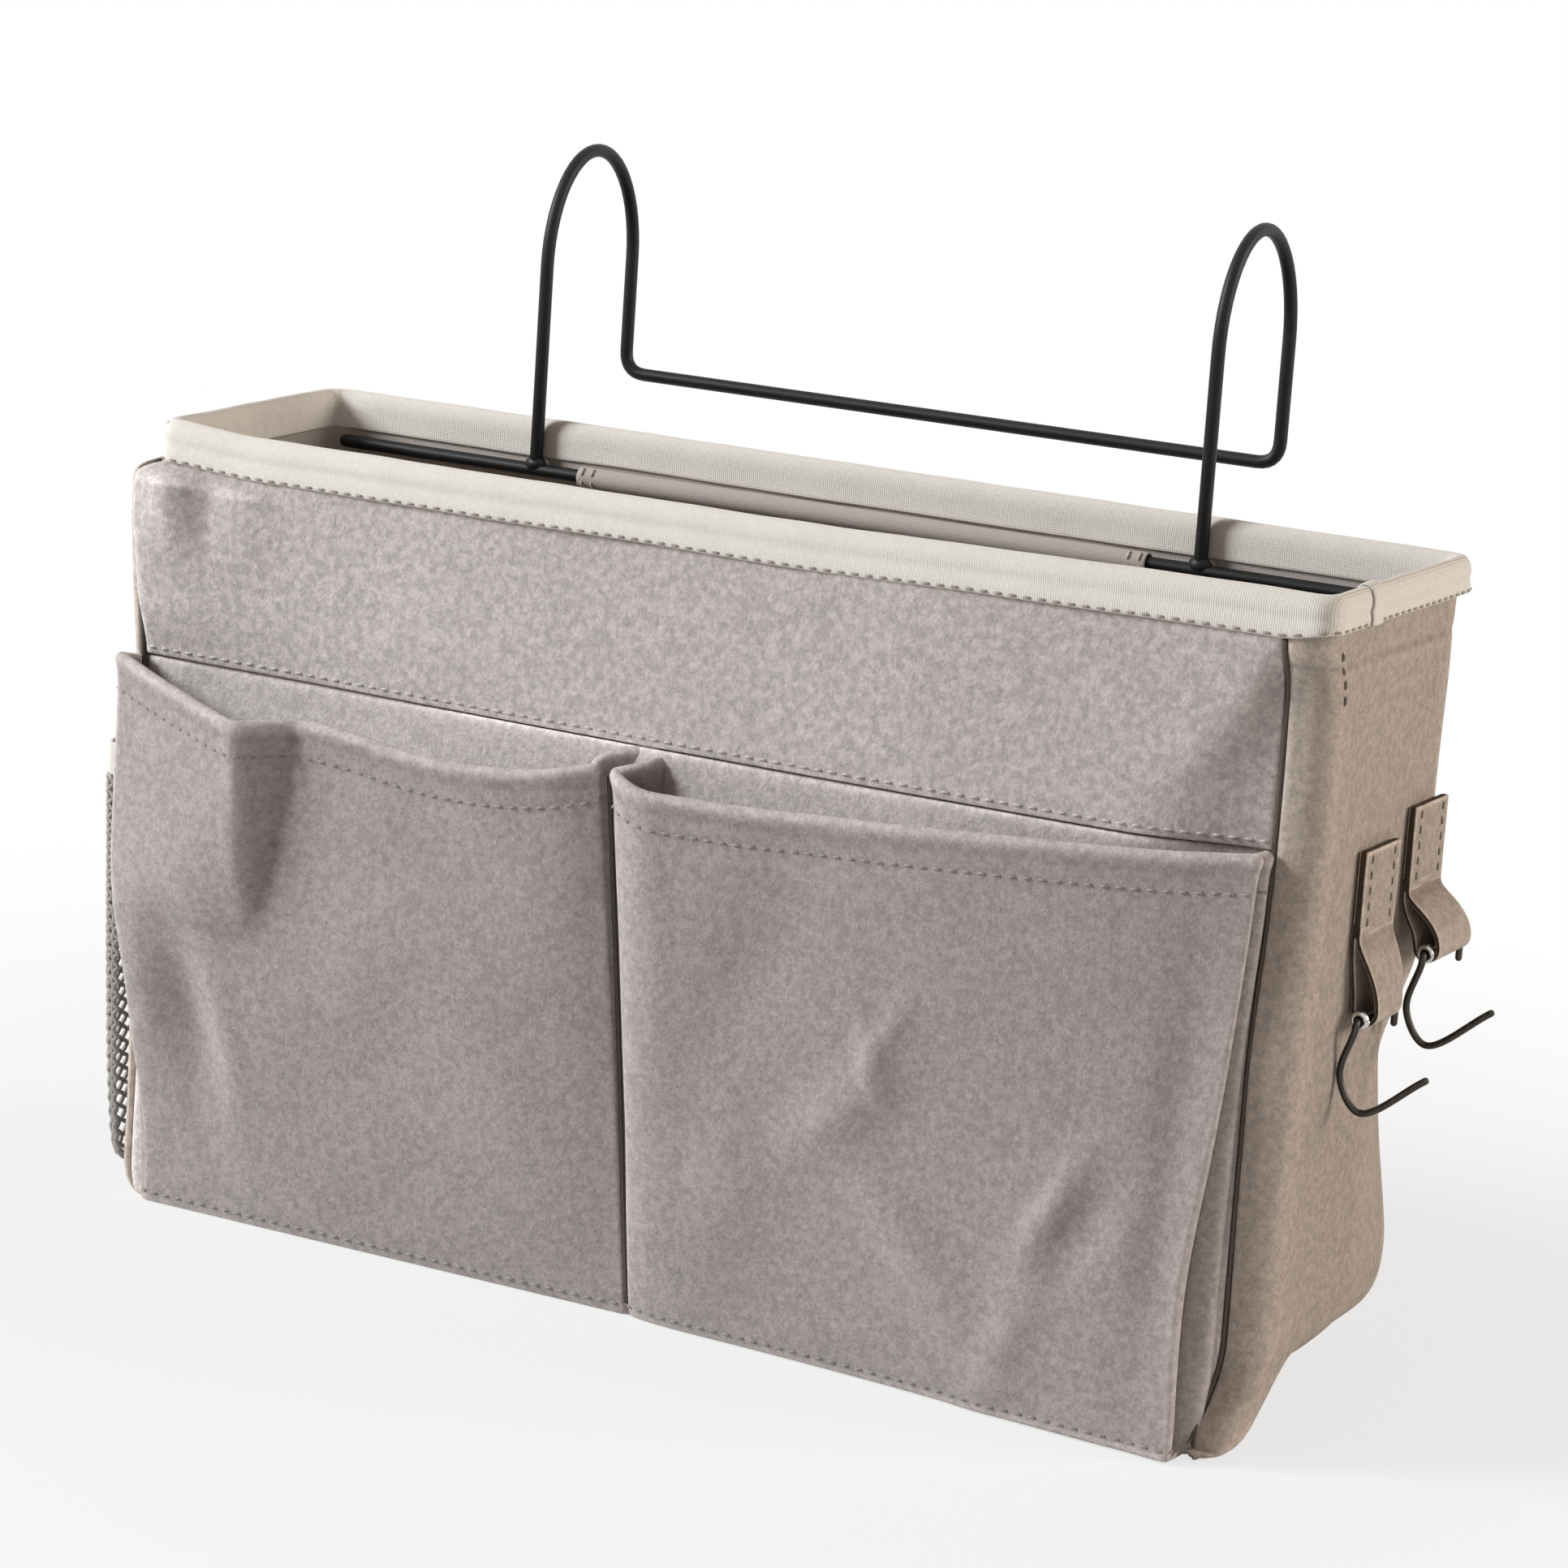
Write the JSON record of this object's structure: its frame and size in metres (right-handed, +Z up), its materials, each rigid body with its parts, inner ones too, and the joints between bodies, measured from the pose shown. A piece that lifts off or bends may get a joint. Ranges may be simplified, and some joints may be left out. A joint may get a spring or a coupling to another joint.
{
  "type": "bedside caddy",
  "caption": "Cloth box caddy that hangs on a bed rail by a wire hanger, with bellows front pockets, a side net pocket and strap loops with wire hooks.",
  "frame": {"origin": "centre of the bag's base, on the underside of the bottom panel", "axes": "+X towards the side with the strap loops, -Y towards the front pockets, +Z up"},
  "size_m": [0.4305, 0.166, 0.3225],
  "materials": {
    "grey_felt": "matte grey felt with a fine fleck",
    "side_felt": "matte warm grey felt",
    "lining": "matte grey cloth",
    "binding": "cream woven tape",
    "board": "plain stiffening board",
    "net": "knitted pale net",
    "elastic": "ribbed pale elastic band",
    "black_wire": "satin black coating",
    "steel_wire": "dark plated steel wire"
  },
  "bodies": {
    "bag": {"upper_front_panel": "grey_felt", "pocket_backing": "grey_felt", "back_panel": "grey_felt", "left_gusset": "side_felt", "right_gusset": "side_felt", "bottom_panel": "side_felt", "front_board": "board", "back_board": "board", "bottom_board": "board", "lining": "lining", "rim_binding": "binding", "left_pocket": "grey_felt", "right_pocket": "grey_felt", "side_net": "net", "net_band": "elastic", "bar_casing": "lining", "strap_tab_front": "side_felt", "strap_tab_rear": "side_felt"},
    "hanger": {"hanger_loop": "black_wire", "hanger_bar": "black_wire"},
    "strap_front": {"strap_loop_front": "side_felt"},
    "strap_rear": {"strap_loop_rear": "side_felt"},
    "hook_front": {"side_hook_front": "steel_wire"},
    "hook_rear": {"side_hook_rear": "steel_wire"}
  },
  "joints": [
    {"name": "hanger_fold", "type": "hinge", "parent": "bag", "child": "hanger", "pos_m": [0, 0.0419, 0.2245], "axis": [1, 0, 0], "range_deg": [0, 80]},
    {"name": "strap_front_swing", "type": "hinge", "parent": "bag", "child": "strap_front", "pos_m": [0.1917, -0.006, 0.14], "axis": [0, -1, 0], "range_deg": [0, 65]},
    {"name": "strap_rear_swing", "type": "hinge", "parent": "bag", "child": "strap_rear", "pos_m": [0.1917, 0.028, 0.147], "axis": [0, -1, 0], "range_deg": [0, 50]},
    {"name": "hook_front_swing", "type": "hinge", "parent": "strap_front", "child": "hook_front", "pos_m": [0.195, -0.006, 0.1196], "axis": [0, -1, 0], "range_deg": [0, 60]},
    {"name": "hook_rear_swing", "type": "hinge", "parent": "strap_rear", "child": "hook_rear", "pos_m": [0.1995, 0.028, 0.1326], "axis": [0, -1, 0], "range_deg": [0, 60]}
  ]
}
